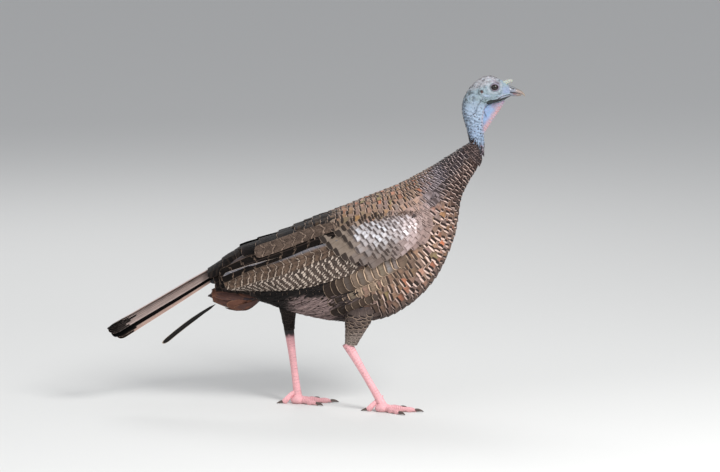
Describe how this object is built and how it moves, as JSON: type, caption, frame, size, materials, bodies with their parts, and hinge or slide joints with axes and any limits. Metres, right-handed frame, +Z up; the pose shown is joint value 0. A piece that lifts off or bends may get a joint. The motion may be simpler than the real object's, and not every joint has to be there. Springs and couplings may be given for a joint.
{
  "type": "wild turkey hen",
  "caption": "Life-size still model of a hen wild turkey in mid-stride, neck raised, with folded wings, closed drooping tail, bare head and scaly legs.",
  "frame": {"origin": "on the floor under the middle of the bird's box", "axes": "+X towards the bill and along the bird's length, +Y to its left, +Z up"},
  "size_m": [0.753, 0.1894, 0.6018],
  "materials": {
    "bare_skin": "bare blue-grey skin, wrinkled and warty, satin",
    "wattle_skin": "soft pink and lilac skin, satin",
    "eye": "dark brown wet eye, glossy",
    "bill_horn": "horn, pinkish at the tip and grey at the base",
    "body_feathers": "dark brown feathers with buff, coppery and bluish edges",
    "wing_feathers": "grey-brown feathers with dark and pale bars and a silvery sheen",
    "tail_feathers": "grey-brown finely mottled feathers with black ends",
    "leg_scales": "pink horny scutes, satin",
    "claw_horn": "grey-brown horn"
  },
  "bodies": {
    "root": {"head": "bare_skin", "neck_bare": "bare_skin", "snood": "bare_skin", "dewlap": "wattle_skin", "eye_left": "eye", "eye_right": "eye", "bill_upper": "bill_horn", "bill_lower": "bill_horn", "neck_feathered": "body_feathers", "trunk": "body_feathers", "undertail_coverts": "body_feathers", "thigh_left": "body_feathers", "thigh_right": "body_feathers", "wing_left": "wing_feathers", "wing_right": "wing_feathers", "tail": "tail_feathers", "tail_feather_loose": "tail_feathers", "shank_left": "leg_scales", "shank_right": "leg_scales", "toe_middle_left": "leg_scales", "toe_inner_left": "leg_scales", "toe_outer_left": "leg_scales", "toe_hind_left": "leg_scales", "toe_middle_right": "leg_scales", "toe_inner_right": "leg_scales", "toe_outer_right": "leg_scales", "toe_hind_right": "leg_scales", "claw_middle_left": "claw_horn", "claw_inner_left": "claw_horn", "claw_outer_left": "claw_horn", "claw_hind_left": "claw_horn", "claw_middle_right": "claw_horn", "claw_inner_right": "claw_horn", "claw_outer_right": "claw_horn", "claw_hind_right": "claw_horn"}
  },
  "joints": []
}
